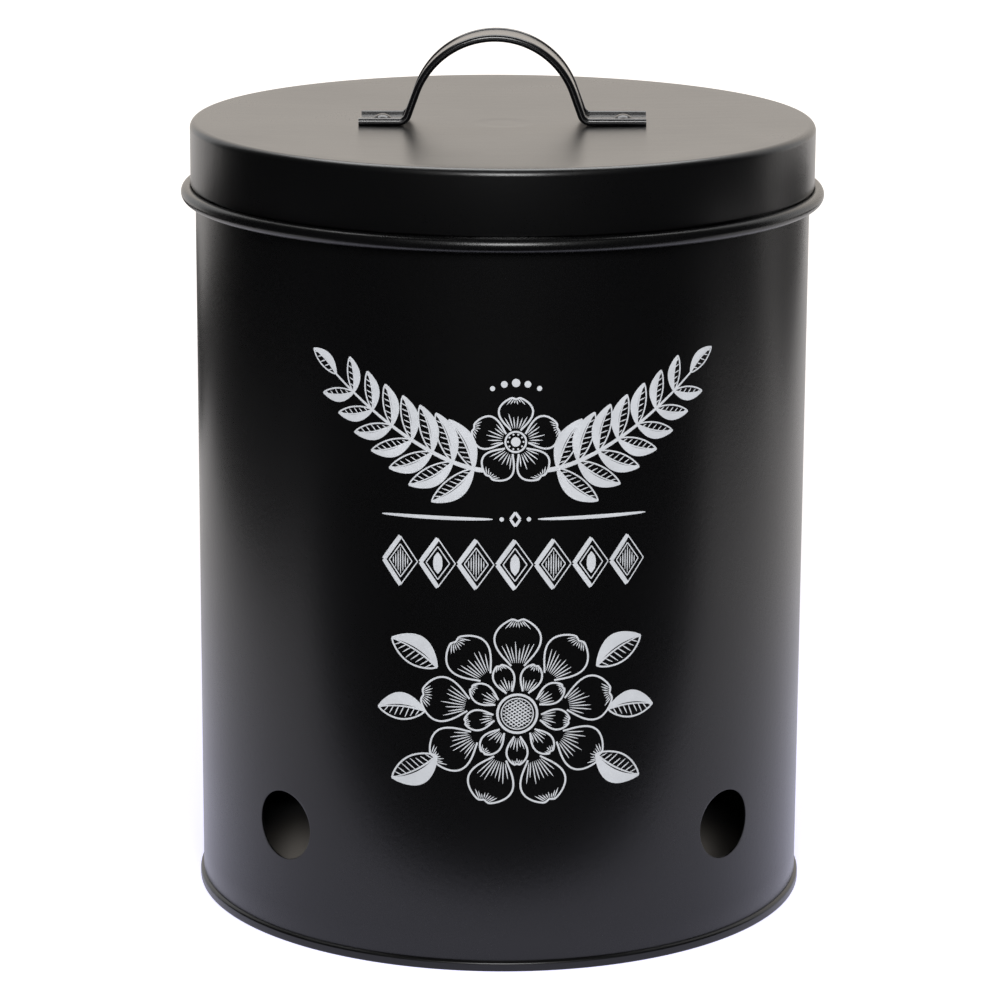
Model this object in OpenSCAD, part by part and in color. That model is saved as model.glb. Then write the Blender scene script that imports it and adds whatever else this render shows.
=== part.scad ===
// Round potato storage bin of coated sheet steel: a rolled body with air vents, a seamed base,
// a slip-on lid and a riveted strap handle. Millimetres, +Z up, the print side faces -Y.
// The origin is the centre of the base ring, on the ground.

/* [Body] */
// Outside diameter of the body wall
body_d = 200; // [160:1:250]
// Thickness of the sheet of the body and the lid
sheet_t = 0.5; // [0.4:0.05:0.7]
// Height of the middle of the stop bead that the lid comes down to
bead_z = 233.4; // [150:0.1:320]
// Outside radius of the round section of the stop bead
bead_r = 2.35; // [2:0.05:3.5]
// Height of the slot by which the hollow bead opens to the inside
bead_slot = 1.2; // [0.6:0.1:1.6]
// Outside diameter of the inward curl of the rim
rim_curl_d = 3; // [2.4:0.1:5]
// Gap left at the free end of the rim curl
rim_curl_gap = 0.4; // [0.2:0.05:0.6]

/* [Side seam] */
// Width of the lap that stands inside the wall
lap_w = 5; // [3:0.5:8]
// Width of the fine outside line where the sheet ends
seam_line_w = 0.5; // [0.3:0.05:1]
// Depth of that line
seam_line_depth = 0.2; // [0.1:0.05:0.3]
// Plain wall left between the lap and the bead, the rim or the base
lap_margin = 2; // [1:0.5:4]

/* [Vents] */
// Diameter of one air vent
vent_d = 22.5; // [10:0.5:35]
// Height of the vents' centres
vent_z = 39; // [25:0.5:80]
// Number of vents round the wall
vent_count = 4; // [2:1:8]
// Direction of the first vent, turned from +X
vent_first = 45; // [0:1:90]

/* [Base] */
// Thickness of the base plate
plate_t = 0.4; // [0.3:0.05:0.5]
// Height of the seam ring at the foot
seam_h = 3.85; // [3:0.05:6]
// How far the seam ring stands out from the wall
seam_proud = 1.07; // [1:0.01:1.6]
// Rounding of the ring's edges
seam_round = 0.6; // [0.3:0.05:0.9]
// Play between the sheets inside the seam
seam_play = 0.06; // [0.04:0.01:0.1]
// Width of the flat outer band of the base panel
panel_band = 12; // [6:1:30]
// Rise of the stiffened middle of the base panel
panel_rise = 1.2; // [0.6:0.1:3]

/* [Lid] */
// Height of the lid from the skirt's edge to the top
lid_h = 20.7; // [14:0.1:40]
// Radius of the rounded top corner, outside
lid_corner_r = 2.4; // [1:0.1:6]
// Depth of the shallow dish of the lid's top
lid_dish = 1.5; // [0.5:0.1:3]
// Radial play between the skirt's folded edge and the neck
skirt_play = 0.57; // [0.3:0.01:1.5]
// Height of the fold inside the skirt's edge
hem_h = 4; // [2:0.5:8]
// Gap between the skirt's edge and the crown of the stop bead
seat_gap = 0.15; // [0.1:0.05:1]
// Gap between the neck's rim and the lid's top
rim_gap = 0.5; // [0.3:0.05:3]

/* [Handle] */
// Length of the handle over both feet
handle_len = 93; // [84:0.5:110]
// Width of the strap over both rolled edges
handle_w = 19; // [12:0.5:30]
// Height of the handle's crown above the lid's corner plane
handle_h = 28.4; // [27:0.1:45]
// Radius of the arch at the middle of the rolled edges
arch_r = 27; // [20:0.1:27.5]
// Sideways shift of the arch from the middle of the lid
arch_shift = -2.5; // [-3:0.1:3]
// Sideways shift of the two foot ends
foot_shift = 0.1; // [-1:0.1:1]
// Lean of the legs from the upright
leg_lean = 20; // [15:1:30]
// Bend radius between leg and foot, at the middle of the rolled edges
foot_bend_r = 3; // [2:0.1:4]
// Thickness of the strap
strap_t = 1; // [0.8:0.05:1.3]
// How far the strap's flat lies above the underside of its rolled edges
web_rise = 0.1; // [0.05:0.05:0.3]
// Diameter of the rolled edges
edge_d = 2.4; // [2:0.1:4]
// Bore left in the rolled edges
edge_bore_d = 1.3; // [0.6:0.1:1.6]

/* [Rivets] */
// Place of a rivet's head along its foot's flat, from 0 against the bend to 1 at the end
rivet_place = 0.38; // [0:0.02:0.6]
// Diameter of the rivet's shank
shank_d = 3.2; // [2:0.1:4]
// Play of the shank in its holes, on the radius
shank_play = 0.05; // [0.02:0.01:0.2]
// Diameter of the domed head
head_d = 6.4; // [5:0.1:9]
// Height of the domed head
head_h = 1.5; // [1:0.1:2.5]
// Diameter of the formed tail inside the lid
tail_d = 5; // [4.5:0.1:7]
// Height of the formed tail
tail_h = 1; // [0.6:0.1:2]

/* [Hidden] */
$fn = 180;
round_fn = 48;

// Reach of a cut past the face it opens
reach = 2;

body_r = body_d / 2;
wall_in_r = body_r - sheet_t;

// Base seam: the wall's foot stands on the plate, and its hook fills the ring
wall_foot_z = plate_t + seam_play;
seam_r = body_r + seam_proud;
hook_t = seam_proud - plate_t - 2 * seam_play;
hook_top_z = seam_h - plate_t - seam_play;
chuck_r = wall_in_r - seam_play;
panel_r = chuck_r - panel_band;

// Lid and neck, stacked on the stop bead
skirt_z = bead_z + bead_r + seat_gap;
lid_z = skirt_z + lid_h;
lid_r = body_r + skirt_play + 2 * sheet_t;
rim_z = lid_z - sheet_t - rim_gap;
rim_curl_r = rim_curl_d / 2;
rim_curl_z = rim_z - rim_curl_r;
// The curl's gap faces down and inward, this far round from +X
curl_gap_turn = -60;
// The dish runs this far over the rounded corner, so that the two meet at a clear angle
dish_over = 0.2;
dish_r = lid_r - lid_corner_r + dish_over;
dish_ball_r = (dish_r * dish_r + lid_dish * lid_dish) / (2 * lid_dish);
dish_ball_z = lid_z - lid_dish + dish_ball_r;
// A segment of the dish's large circle is kept about this long
dish_step = 4;
dish_fn = ceil(2 * PI * dish_ball_r / dish_step);

// Height of the dished top at a distance from the axis
function dish_z(r) = dish_ball_z - sqrt(dish_ball_r * dish_ball_r - r * r);

// Handle: the feet lie on the dish where they reach highest, at their ends
edge_r = edge_d / 2;
edge_y = handle_w / 2 - edge_r;
left_end = foot_shift - handle_len / 2;
right_end = foot_shift + handle_len / 2;
foot_reach = handle_len / 2 + abs(foot_shift);
foot_z = dish_z(sqrt(foot_reach * foot_reach + edge_y * edge_y));
edge_z = foot_z + edge_r;
arch_z = lid_z + handle_h - edge_r - arch_r;
bend_z = edge_z + foot_bend_r;
bend_out = (arch_r + foot_bend_r - sin(leg_lean) * (bend_z - arch_z)) / cos(leg_lean);
leg_len = cos(leg_lean) * (arch_z - bend_z) + sin(leg_lean) * bend_out;

// How much slimmer a straight stretch is on each face, and how far it reaches into a bend
slim_by = 0.01;
slim_lap = 0.1;

// The rivets stand evenly about the middle of the lid, so the shorter reach of each kind counts
flat_start = bend_out + abs(arch_shift);
flat_end = handle_len / 2 - abs(foot_shift);
rivet_x = flat_start + head_d / 2 + rivet_place * (flat_end - flat_start - head_d);
web_top_z = foot_z + web_rise + strap_t;
tail_top_z = dish_z(rivet_x - tail_d / 2) - sheet_t;
hole_r = shank_d / 2 + shank_play;

module body_section() {
    neck_h = bead_slot + 2 * sheet_t;
    difference() {
        union() {
            translate([wall_in_r, wall_foot_z])
                square([sheet_t, rim_curl_z - wall_foot_z]);
            translate([body_r + bead_r, bead_z])
                circle(bead_r, $fn = round_fn);
            translate([wall_in_r, bead_z - neck_h / 2])
                square([sheet_t + bead_r, neck_h]);
            translate([body_r - rim_curl_r, rim_curl_z])
                circle(rim_curl_r, $fn = round_fn);
            translate([wall_in_r, wall_foot_z])
                square([sheet_t + hook_t, hook_top_z - wall_foot_z]);
        }
        translate([body_r + bead_r, bead_z])
            circle(bead_r - sheet_t, $fn = round_fn);
        translate([wall_in_r - reach, bead_z - bead_slot / 2])
            square([sheet_t + bead_r + reach, bead_slot]);
        translate([body_r - rim_curl_r, rim_curl_z]) {
            circle(rim_curl_r - sheet_t, $fn = round_fn);
            rotate(curl_gap_turn)
                translate([0, -rim_curl_gap / 2])
                    square([rim_curl_d, rim_curl_gap]);
        }
    }
}

// The wall stays whole behind the curl's gap
module neck_section() {
    translate([wall_in_r, bead_z + bead_r])
        square([sheet_t, rim_curl_z - bead_z - bead_r]);
}

module lap_strip(z0, z1) {
    intersection() {
        translate([0, 0, z0])
            difference() {
                cylinder(r = wall_in_r + sheet_t / 2, h = z1 - z0);
                translate([0, 0, -reach])
                    cylinder(r = wall_in_r - sheet_t, h = z1 - z0 + 2 * reach);
            }
        translate([-lap_w / 2, 0, z0])
            cube([lap_w, body_r, z1 - z0]);
    }
}

// A vent's cut starts inside the deepest point of the curved wall and its lap
module vent_cut() {
    vent_sag = body_r - sqrt(body_r * body_r - vent_d * vent_d / 4);
    depth = vent_sag + 2 * sheet_t + reach;
    translate([body_r - depth, 0, vent_z])
        rotate([0, 90, 0])
            cylinder(d = vent_d, h = depth + reach);
}

module body_wall() {
    lap_low_z = seam_h + panel_rise + lap_margin;
    lap_top_z = bead_z - bead_r - lap_margin;
    color([0.07, 0.07, 0.08])
        difference() {
            union() {
                rotate_extrude()
                    union() {
                        body_section();
                        neck_section();
                    }
                lap_strip(lap_low_z, lap_top_z);
                lap_strip(bead_z + bead_r + lap_margin, rim_z - rim_curl_d - lap_margin);
            }
            for (i = [0 : vent_count - 1])
                rotate([0, 0, vent_first + i * 360 / vent_count])
                    vent_cut();
            translate([-seam_line_w / 2, body_r - seam_line_depth, seam_h])
                cube([seam_line_w, reach, bead_z - bead_r - seam_h]);
        }
}

// Rounded rectangle with its lowest corner at the origin
module round_rect(w, h, r) {
    for (x = [r, w - r], y = [r, h - r])
        translate([x, y])
            circle(r, $fn = round_fn);
    translate([r, 0])
        square([w - 2 * r, h]);
    translate([0, r])
        square([w, h - 2 * r]);
}

module base_section() {
    pocket_r = seam_r - plate_t;
    difference() {
        translate([chuck_r - plate_t, 0])
            round_rect(seam_r - chuck_r + plate_t, seam_h, seam_round);
        translate([chuck_r, plate_t])
            square([pocket_r - chuck_r, hook_top_z + seam_play - plate_t]);
        translate([chuck_r, plate_t])
            square([body_r + seam_play - chuck_r, seam_h]);
    }
    // The panel is set up inside the ring, with a raised middle
    polygon([
        [0, seam_h - plate_t + panel_rise],
        [panel_r, seam_h - plate_t + panel_rise],
        [panel_r + panel_rise, seam_h - plate_t],
        [chuck_r - plate_t / 2, seam_h - plate_t],
        [chuck_r - plate_t / 2, seam_h],
        [panel_r + panel_rise, seam_h],
        [panel_r, seam_h + panel_rise],
        [0, seam_h + panel_rise]
    ]);
    translate([chuck_r - plate_t, seam_round])
        square([plate_t, seam_h - seam_round]);
}

module base_plate() {
    color([0.08, 0.08, 0.09])
        rotate_extrude()
            base_section();
}

module lid_block(r, z_top, corner) {
    square([r, z_top - corner]);
    square([r - corner, z_top]);
    translate([r - corner, z_top - corner])
        circle(corner, $fn = round_fn);
}

// The skirt's edge is folded inward: a second layer stands on the round of the fold
module lid_section() {
    inside_corner = lid_corner_r - sheet_t;
    difference() {
        translate([0, skirt_z])
            lid_block(lid_r, lid_h, lid_corner_r);
        translate([0, dish_ball_z])
            circle(dish_ball_r, $fn = dish_fn);
        difference() {
            translate([0, skirt_z - reach])
                lid_block(lid_r - sheet_t, lid_h - sheet_t + reach, inside_corner);
            translate([0, dish_ball_z])
                circle(dish_ball_r + sheet_t, $fn = dish_fn);
        }
        translate([lid_r - sheet_t, skirt_z - reach])
            square([2 * sheet_t, reach + sheet_t]);
    }
    translate([lid_r - 2 * sheet_t, skirt_z + sheet_t])
        square([1.5 * sheet_t, hem_h - sheet_t]);
    translate([lid_r - sheet_t, skirt_z + sheet_t])
        circle(sheet_t, $fn = round_fn);
}

module rivet_holes() {
    for (x = [-rivet_x, rivet_x])
        translate([x, 0, tail_top_z - reach])
            cylinder(r = hole_r, h = web_top_z - tail_top_z + 2 * reach);
}

module lid_shell() {
    color([0.07, 0.07, 0.08])
        difference() {
            rotate_extrude()
                lid_section();
            rivet_holes();
        }
}

// The strap cut across: x points out of the arch, y runs across the strap.
// A slim section is a hair thinner all round.
module strap_section(slim) {
    difference() {
        union() {
            translate([web_rise - edge_r + slim, -edge_y])
                square([strap_t - 2 * slim, 2 * edge_y]);
            for (y = [-edge_y, edge_y])
                translate([0, y])
                    circle(edge_r - slim, $fn = round_fn);
        }
        for (y = [-edge_y, edge_y])
            translate([0, y])
                circle(edge_bore_d / 2 + slim, $fn = round_fn);
    }
}

// A straight stretch along +Z, slim, so that its ends can lie inside the bends it joins
module straight(length, overlap_start, overlap_end) {
    translate([0, 0, -overlap_start])
        linear_extrude(length + overlap_start + overlap_end)
            strap_section(slim_by);
}

// One side of the strap below the arch: leg, bend and a foot of the given length, on the +X side
module strap_side(foot_len) {
    translate([0, 0, arch_z])
        rotate([0, -leg_lean, 0])
            translate([arch_r, 0, -leg_len])
                straight(leg_len, slim_lap, slim_lap);
    translate([bend_out, 0, bend_z])
        rotate([90, 180 - leg_lean, 0])
            rotate_extrude(angle = 90 - leg_lean)
                translate([foot_bend_r, 0])
                    mirror([1, 0])
                        strap_section(0);
    translate([bend_out + foot_len, 0, edge_z])
        rotate([0, -90, 0])
            straight(foot_len, 0, slim_lap);
}

module handle_strap() {
    color([0.1, 0.1, 0.11])
        difference() {
            translate([arch_shift, 0, 0])
                union() {
                    translate([0, 0, arch_z])
                        rotate([90, -leg_lean, 0])
                            rotate_extrude(angle = 180 - 2 * leg_lean)
                                translate([arch_r, 0])
                                    strap_section(0);
                    strap_side(right_end - arch_shift - bend_out);
                    mirror([1, 0, 0])
                        strap_side(arch_shift - bend_out - left_end);
                }
            rivet_holes();
        }
}

module rivet() {
    head_r = head_d / 2;
    ball_r = (head_r * head_r + head_h * head_h) / (2 * head_h);
    color([0.1, 0.1, 0.11])
        rotate_extrude()
            union() {
                intersection() {
                    translate([0, web_top_z + head_h - ball_r])
                        circle(ball_r);
                    translate([0, web_top_z])
                        square([head_r, head_h]);
                }
                translate([0, tail_top_z - tail_h / 2])
                    square([shank_d / 2, web_top_z - tail_top_z + tail_h / 2 + head_h / 2]);
                translate([0, tail_top_z - tail_h])
                    square([tail_d / 2, tail_h]);
            }
}

module rivet_left() {
    translate([-rivet_x, 0, 0])
        rivet();
}

module rivet_right() {
    translate([rivet_x, 0, 0])
        rivet();
}

body_wall();
base_plate();
lid_shell();
handle_strap();
rivet_left();
rivet_right();
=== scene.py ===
# %% [markdown]
# # A potato storage bin in coated sheet steel
# This lesson dresses a finished construction model. The construction already has every piece at its
# real size, so it is loaded first and never moved. Each piece then gets a finer mesh with a real
# finish, laid exactly where the construction says.

import math
import random

import bpy
from mathutils import Matrix, Vector


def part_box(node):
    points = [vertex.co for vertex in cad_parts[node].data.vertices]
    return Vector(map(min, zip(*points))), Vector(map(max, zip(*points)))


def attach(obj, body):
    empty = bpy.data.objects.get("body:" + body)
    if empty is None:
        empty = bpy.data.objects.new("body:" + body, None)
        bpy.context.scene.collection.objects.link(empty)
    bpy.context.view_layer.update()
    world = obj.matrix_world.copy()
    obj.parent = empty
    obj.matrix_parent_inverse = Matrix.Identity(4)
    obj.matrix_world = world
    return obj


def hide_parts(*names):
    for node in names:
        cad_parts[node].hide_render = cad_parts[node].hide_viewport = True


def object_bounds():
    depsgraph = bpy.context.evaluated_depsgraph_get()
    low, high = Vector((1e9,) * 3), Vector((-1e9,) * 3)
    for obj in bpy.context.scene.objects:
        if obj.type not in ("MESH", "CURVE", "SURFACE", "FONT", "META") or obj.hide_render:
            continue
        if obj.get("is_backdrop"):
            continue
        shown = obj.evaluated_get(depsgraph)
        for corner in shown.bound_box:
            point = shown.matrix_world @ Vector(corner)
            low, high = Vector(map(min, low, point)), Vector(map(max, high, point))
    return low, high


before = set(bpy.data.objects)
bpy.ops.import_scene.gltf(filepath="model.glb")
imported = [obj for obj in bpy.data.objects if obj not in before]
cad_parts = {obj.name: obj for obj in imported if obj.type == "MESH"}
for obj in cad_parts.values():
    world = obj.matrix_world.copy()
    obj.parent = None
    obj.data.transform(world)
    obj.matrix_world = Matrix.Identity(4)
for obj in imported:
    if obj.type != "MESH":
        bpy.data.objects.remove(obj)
cad_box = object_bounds()

# %% [markdown]
# ## Sizes read from the frame
# A tin is a turned shape, so a few radii and heights describe it. Those that another piece depends
# on are read from the boxes of the construction. The rest are sheet thicknesses and small radii,
# which are written once here in metres.

# %% Read the sizes
MM = 0.001
_, wall_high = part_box("body_wall")
_, base_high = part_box("base_plate")
lid_low, lid_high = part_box("lid_shell")
strap_low, strap_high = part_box("handle_strap")
rivet_low, rivet_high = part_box("rivet_right")

SHEET = 0.5 * MM
WALL_R = 100 * MM
BEAD_R = 2.35 * MM
BEAD_Z = 233.4 * MM
RIM_CURL_R = 1.5 * MM
RIM_Z = wall_high.z
BASE_R = base_high.x
SEAM_H = 3.85 * MM
LID_R = lid_high.x
SKIRT_Z = lid_low.z
LID_CORNER_R = 2.4 * MM
LID_H = 20.7 * MM
LID_Z = SKIRT_Z + LID_H
LID_DISH = 1.5 * MM
TURN_STEPS = 360
print("wall", round(wall_high.x / MM, 2), "rim", round(RIM_Z / MM, 2), "lid", round(LID_R / MM, 2))

# %% [markdown]
# ## The camera
# The photograph is taken with a long lens from a little above the lid. The horizontal rims show as
# narrow ellipses, and their height compared with their width gives the tilt. The camera turns about
# the upright axis so that the two front vents lie a little off the mirror line, as they do in the
# photograph. It also stood a hair to the left and not quite level, so there is a small side step and
# a small roll.

# %% Place the camera
VIEW_TURN = math.radians(-1.4)
VIEW_PITCH = math.radians(14.05)
VIEW_ROLL = math.radians(0.3)
VIEW_DISTANCE = 1322.5 * MM
VIEW_HEIGHT = 459.6 * MM
VIEW_SIDE = -0.3 * MM
SENSOR_W = 36
LENS = 147.54
CLIP_NEAR = 0.05
CLIP_FAR = 60

camera_data = bpy.data.cameras.new("photo_camera")
camera_data.sensor_width = SENSOR_W
camera_data.lens = LENS
camera_data.clip_start = CLIP_NEAR
camera_data.clip_end = CLIP_FAR
camera = bpy.data.objects.new("photo_camera", camera_data)
bpy.context.scene.collection.objects.link(camera)
camera_turn = Matrix.Rotation(VIEW_TURN, 4, "Z")
camera_step = Matrix.Translation((VIEW_SIDE, -VIEW_DISTANCE, VIEW_HEIGHT))
camera_tilt = Matrix.Rotation(math.radians(90) - VIEW_PITCH, 4, "X")
camera_roll = Matrix.Rotation(VIEW_ROLL, 4, "Z")
camera.matrix_world = camera_turn @ camera_step @ camera_tilt @ camera_roll
bpy.context.scene.camera = camera
print("camera at", [round(x, 3) for x in camera.location])

# %% [markdown]
# ## Working as by hand
# Blender's operators act on whatever is selected, so each step begins by selecting only its own
# piece. Small helpers keep the later cells short: they select, go in and out of edit mode, merge
# doubles, turn faces outward and apply modifiers.

# %% Helpers for selecting and finishing
MERGE = 0.004 * MM


def pick(obj):
    bpy.ops.object.select_all(action="DESELECT")
    obj.select_set(True)
    bpy.context.view_layer.objects.active = obj
    return obj


def enter_edit():
    bpy.ops.object.mode_set(mode="EDIT")


def leave_edit():
    bpy.ops.object.mode_set(mode="OBJECT")


def edit(obj):
    """Edit mode on one piece, with nothing selected."""
    pick(obj)
    enter_edit()
    bpy.ops.mesh.select_all(action="DESELECT")


def edit_all(obj):
    edit(obj)
    bpy.ops.mesh.select_all(action="SELECT")


def edit_points(obj, test):
    """Edit mode on one piece, with those points selected whose place passes the test."""
    edit(obj)
    leave_edit()
    for v in obj.data.vertices:
        v.select = test(v.co)
    enter_edit()
    bpy.ops.mesh.select_mode(type="VERT")


def edit_faces(obj, test):
    """The same for faces. The test gets a face's middle."""
    edit(obj)
    leave_edit()
    for face in obj.data.polygons:
        face.select = test(face.center)
    enter_edit()


def extrude(offset):
    bpy.ops.mesh.extrude_region_move(TRANSFORM_OT_translate={"value": offset})


def move(obj, offset):
    edit_all(obj)
    bpy.ops.transform.translate(value=offset)
    leave_edit()


def settle(obj):
    edit_all(obj)
    bpy.ops.mesh.remove_doubles(threshold=MERGE)
    bpy.ops.mesh.normals_make_consistent(inside=False)
    leave_edit()
    return obj


def apply(obj, kind, **settings):
    pick(obj)
    modifier = obj.modifiers.new(kind.lower(), kind)
    for key, value in settings.items():
        setattr(modifier, key, value)
    bpy.ops.object.modifier_apply(modifier=modifier.name)


def smooth(obj, angle=30):
    pick(obj)
    bpy.ops.object.shade_smooth_by_angle(angle=math.radians(angle))
    return obj


def join(first, *others):
    pick(first)
    for other in others:
        other.select_set(True)
    bpy.ops.object.join()


def added(name):
    """The object that an operator has just made. It gets its name."""
    obj = bpy.context.object
    obj.name = obj.data.name = name
    return obj


# %% [markdown]
# ## Turned shapes
# Lids, rims and base plates are pressed or spun, so every cut through the axis is the same. The way
# to make one is to draw half of that cut as a line of points and spin it round the axis. An arc
# function keeps the corners round without listing their points.

# %% Helpers for turned shapes
def arc(cx, cz, r, start, end, steps):
    """Points on an arc in the r-z plane; the angles are in degrees, 0 outward and 90 up."""
    angles = [math.radians(start + (end - start) * i / steps) for i in range(steps + 1)]
    return [(cx + r * math.cos(a), cz + r * math.sin(a)) for a in angles]


def line_mesh(name, points):
    """A chain of edges through points of the r-z plane, ready for the spin."""
    bpy.ops.mesh.primitive_plane_add(size=1 * MM, location=(0, 0, 0))
    obj = added(name)
    edit_all(obj)
    bpy.ops.mesh.merge(type="CENTER")
    r, z = points[0]
    bpy.ops.transform.translate(value=(r, 0, z))
    for (r0, z0), (r1, z1) in zip(points, points[1:]):
        extrude((r1 - r0, 0, z1 - z0))
    leave_edit()
    return obj


def turned(name, points, steps=TURN_STEPS):
    """A line of points spun round the Z axis. Where it starts and ends on the axis, it closes."""
    obj = line_mesh(name, points)
    edit_all(obj)
    bpy.ops.mesh.spin(steps=steps, angle=math.tau, center=(0, 0, 0), axis=(0, 0, 1))
    leave_edit()
    return settle(obj)


# %% [markdown]
# ## The wall starts as a flat sheet
# The real wall is a flat strip of steel. Its vents are punched while it is flat, and then it is
# rolled and lapped. The same order works best here: a round hole in a flat grid is easy to make
# clean, and a Bend modifier rolls the sheet afterwards. Cutting the holes out of a finished
# cylinder would leave long thin faces that catch the light.

# %% Lay out the flat sheet
VENT_R = 11.25 * MM
VENT_Z = 39 * MM
VENT_ANGLES = (45, 135, 225, 315)
WINDOW_CELLS = 16
WALL_FOOT_Z = 0.5 * MM
SHEET_TOP_Z = 231.05 * MM
SEAM_LINE = 0.25 * MM
SEAM_DEPTH = 0.2 * MM
PLAIN_ROWS = (12, 80, 120, 160, 200)
TOP_ROW_DROP = 0.05 * MM
CELL = math.tau * WALL_R / TURN_STEPS
SHEET_LENGTH = math.tau * WALL_R


def flat_x(angle):
    """Place along the flat sheet of a direction, counted from +X. The sheet's middle is the front."""
    return ((angle + 90 + 180) % 360 - 180) / 360 * SHEET_LENGTH


def flat_sheet(name, columns, length, low, high):
    bpy.ops.mesh.primitive_grid_add(x_subdivisions=columns, y_subdivisions=1, size=1,
                                    rotation=(math.radians(90), 0, 0))
    obj = added(name)
    obj.scale = (length, high - low, 1)
    obj.location = (0, 0, (low + high) / 2)
    bpy.ops.object.transform_apply()
    return obj


wall = flat_sheet("wall_sheet", TURN_STEPS, SHEET_LENGTH, WALL_FOOT_Z, SHEET_TOP_Z)
window_half = WINDOW_CELLS / 2 * CELL
window_rows = [VENT_Z - window_half + i * CELL for i in range(WINDOW_CELLS + 1)]
plain_rows = [height * MM for height in PLAIN_ROWS] + [SHEET_TOP_Z - TOP_ROW_DROP]
edit(wall)
for z in window_rows + plain_rows:
    bpy.ops.mesh.select_all(action="SELECT")
    bpy.ops.mesh.bisect(plane_co=(0, 0, z), plane_no=(0, 0, 1))
leave_edit()
print("flat sheet", len(wall.data.polygons), "faces")

# %% [markdown]
# ## Punching the vents
# A square window of faces is deleted at each vent. Its edge loop is extruded inward a few times,
# and each new loop is moved a step closer to a true circle. The window has 64 edge points, so the
# circle gets 64 as well and no face is left odd.

# %% Punch the vents
PUNCH_LOOPS = 4
PUNCH_EASE = 1.5
WINDOW_MARGIN = 0.2 * CELL


def punch(obj, x, z):
    def within(reach):
        return lambda c: abs(c.x - x) < reach and abs(c.z - z) < reach

    edit_faces(obj, within(window_half))
    bpy.ops.mesh.select_mode(type="FACE")
    bpy.ops.mesh.delete(type="FACE")
    bpy.ops.mesh.select_mode(type="VERT")
    leave_edit()
    edit_points(obj, within(window_half + WINDOW_MARGIN))
    bpy.ops.mesh.region_to_loop()
    for i in range(1, PUNCH_LOOPS + 1):
        extrude((0, 0, 0))
        leave_edit()
        loop = [v for v in obj.data.vertices if v.select]
        share = 1 - (1 - i / PUNCH_LOOPS) ** PUNCH_EASE
        for v in loop:
            offset = Vector((v.co.x - x, 0, v.co.z - z))
            reach = offset.length
            edge = window_half / max(abs(offset.x), abs(offset.z)) * reach
            wanted = edge + (VENT_R - edge) * share
            v.co = Vector((x, v.co.y, z)) + offset / reach * wanted
        enter_edit()
    leave_edit()


for angle in VENT_ANGLES:
    punch(wall, flat_x(angle), VENT_Z)
print("punched sheet", len(wall.data.polygons), "faces")

# %% [markdown]
# ## Rolling the wall
# The Bend modifier turns the flat length into one full circle, exactly as rolling does. The stop
# bead, the neck and the curled rim above it are the same all round, so they are one turned line. It
# has a point at each of the sheet's 360 columns, so the two parts merge into one skin without a gap.

# %% Roll the sheet and add the bead and rim
NECK_H = 1.1 * MM
BEAD_STEPS = 32
CURL_STEPS = 26
CURL_END = 292


def roll(obj, radius):
    """Bends a flat piece round the axis, its middle to the front, its y = 0 face at the radius."""
    xs = [v.co.x for v in obj.data.vertices]
    angle = (max(xs) - min(xs)) / radius
    apply(obj, "SIMPLE_DEFORM", deform_method="BEND", deform_axis="Z", angle=angle)
    move(obj, (0, -radius, 0))


roll(wall, WALL_R)
settle(wall)

bead_x = WALL_R + BEAD_R
bead_open = math.degrees(math.asin(NECK_H / BEAD_R))
curl_z = RIM_Z - RIM_CURL_R
upper_line = [(WALL_R, SHEET_TOP_Z), (WALL_R, BEAD_Z - NECK_H)]
upper_line += arc(bead_x, BEAD_Z, BEAD_R, 180 + bead_open, 540 - bead_open, BEAD_STEPS)
upper_line += [(WALL_R, BEAD_Z + NECK_H)]
upper_line += arc(WALL_R - RIM_CURL_R, curl_z, RIM_CURL_R, 0, CURL_END, CURL_STEPS)
upper_wall = turned("upper_wall", upper_line)
join(wall, upper_wall)
wall.name = wall.data.name = "wall"
settle(wall)
print("rolled wall", len(wall.data.polygons), "faces")

# %% [markdown]
# ## Giving the wall its sheet thickness
# Up to here the wall is a skin on its outer face. Solidify adds the inner face half a millimetre
# inward and closes the vents' edges, the foot and the rim's end with narrow bands. The normals were
# made to point outward before this step, because Solidify goes by them. A small bevel then takes the
# knife edge off, as the coat does on the real sheet.

# %% Thicken the wall
COAT_ROUND = 0.1 * MM
SHARP_ANGLE = math.radians(50)


def thicken(obj):
    apply(obj, "SOLIDIFY", thickness=SHEET, offset=-1, use_even_offset=True, use_rim=True)


def soften(obj, width):
    apply(obj, "BEVEL", width=width, segments=2, limit_method="ANGLE", angle_limit=SHARP_ANGLE,
          use_clamp_overlap=True)


thicken(wall)
soften(wall, COAT_ROUND)
print("thick wall", len(wall.data.polygons), "faces")

# %% [markdown]
# ## The side seam
# Where the rolled sheet meets itself, its end shows outside as a fine upright line, and the lap
# stands inside as a narrow strip. Two pairs of cuts beside the line and a small push inward make the
# outside line. The strip is a thin block, rolled like the wall.

# %% Cut the seam line and add the lap
LAP_W = 5 * MM
LAP_COLUMNS = 6
LAP_MARGIN = 2 * MM
LAP_FOOT = 3.2 * MM
OUTER_SKIN = 0.1 * MM
LINE_FLOOR = 0.8
LINE_WALL = 0.9
LINE_END = SHEET_TOP_Z - 0.02 * MM
LAP_STRETCHES = ((SEAM_H + LAP_FOOT, BEAD_Z - BEAD_R - LAP_MARGIN),
                 (BEAD_Z + BEAD_R + LAP_MARGIN, RIM_Z - 2 * RIM_CURL_R - LAP_MARGIN))


def near_seam(c, reach, top):
    return c.y > WALL_R - OUTER_SKIN and abs(c.x) < reach and c.z < top


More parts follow.
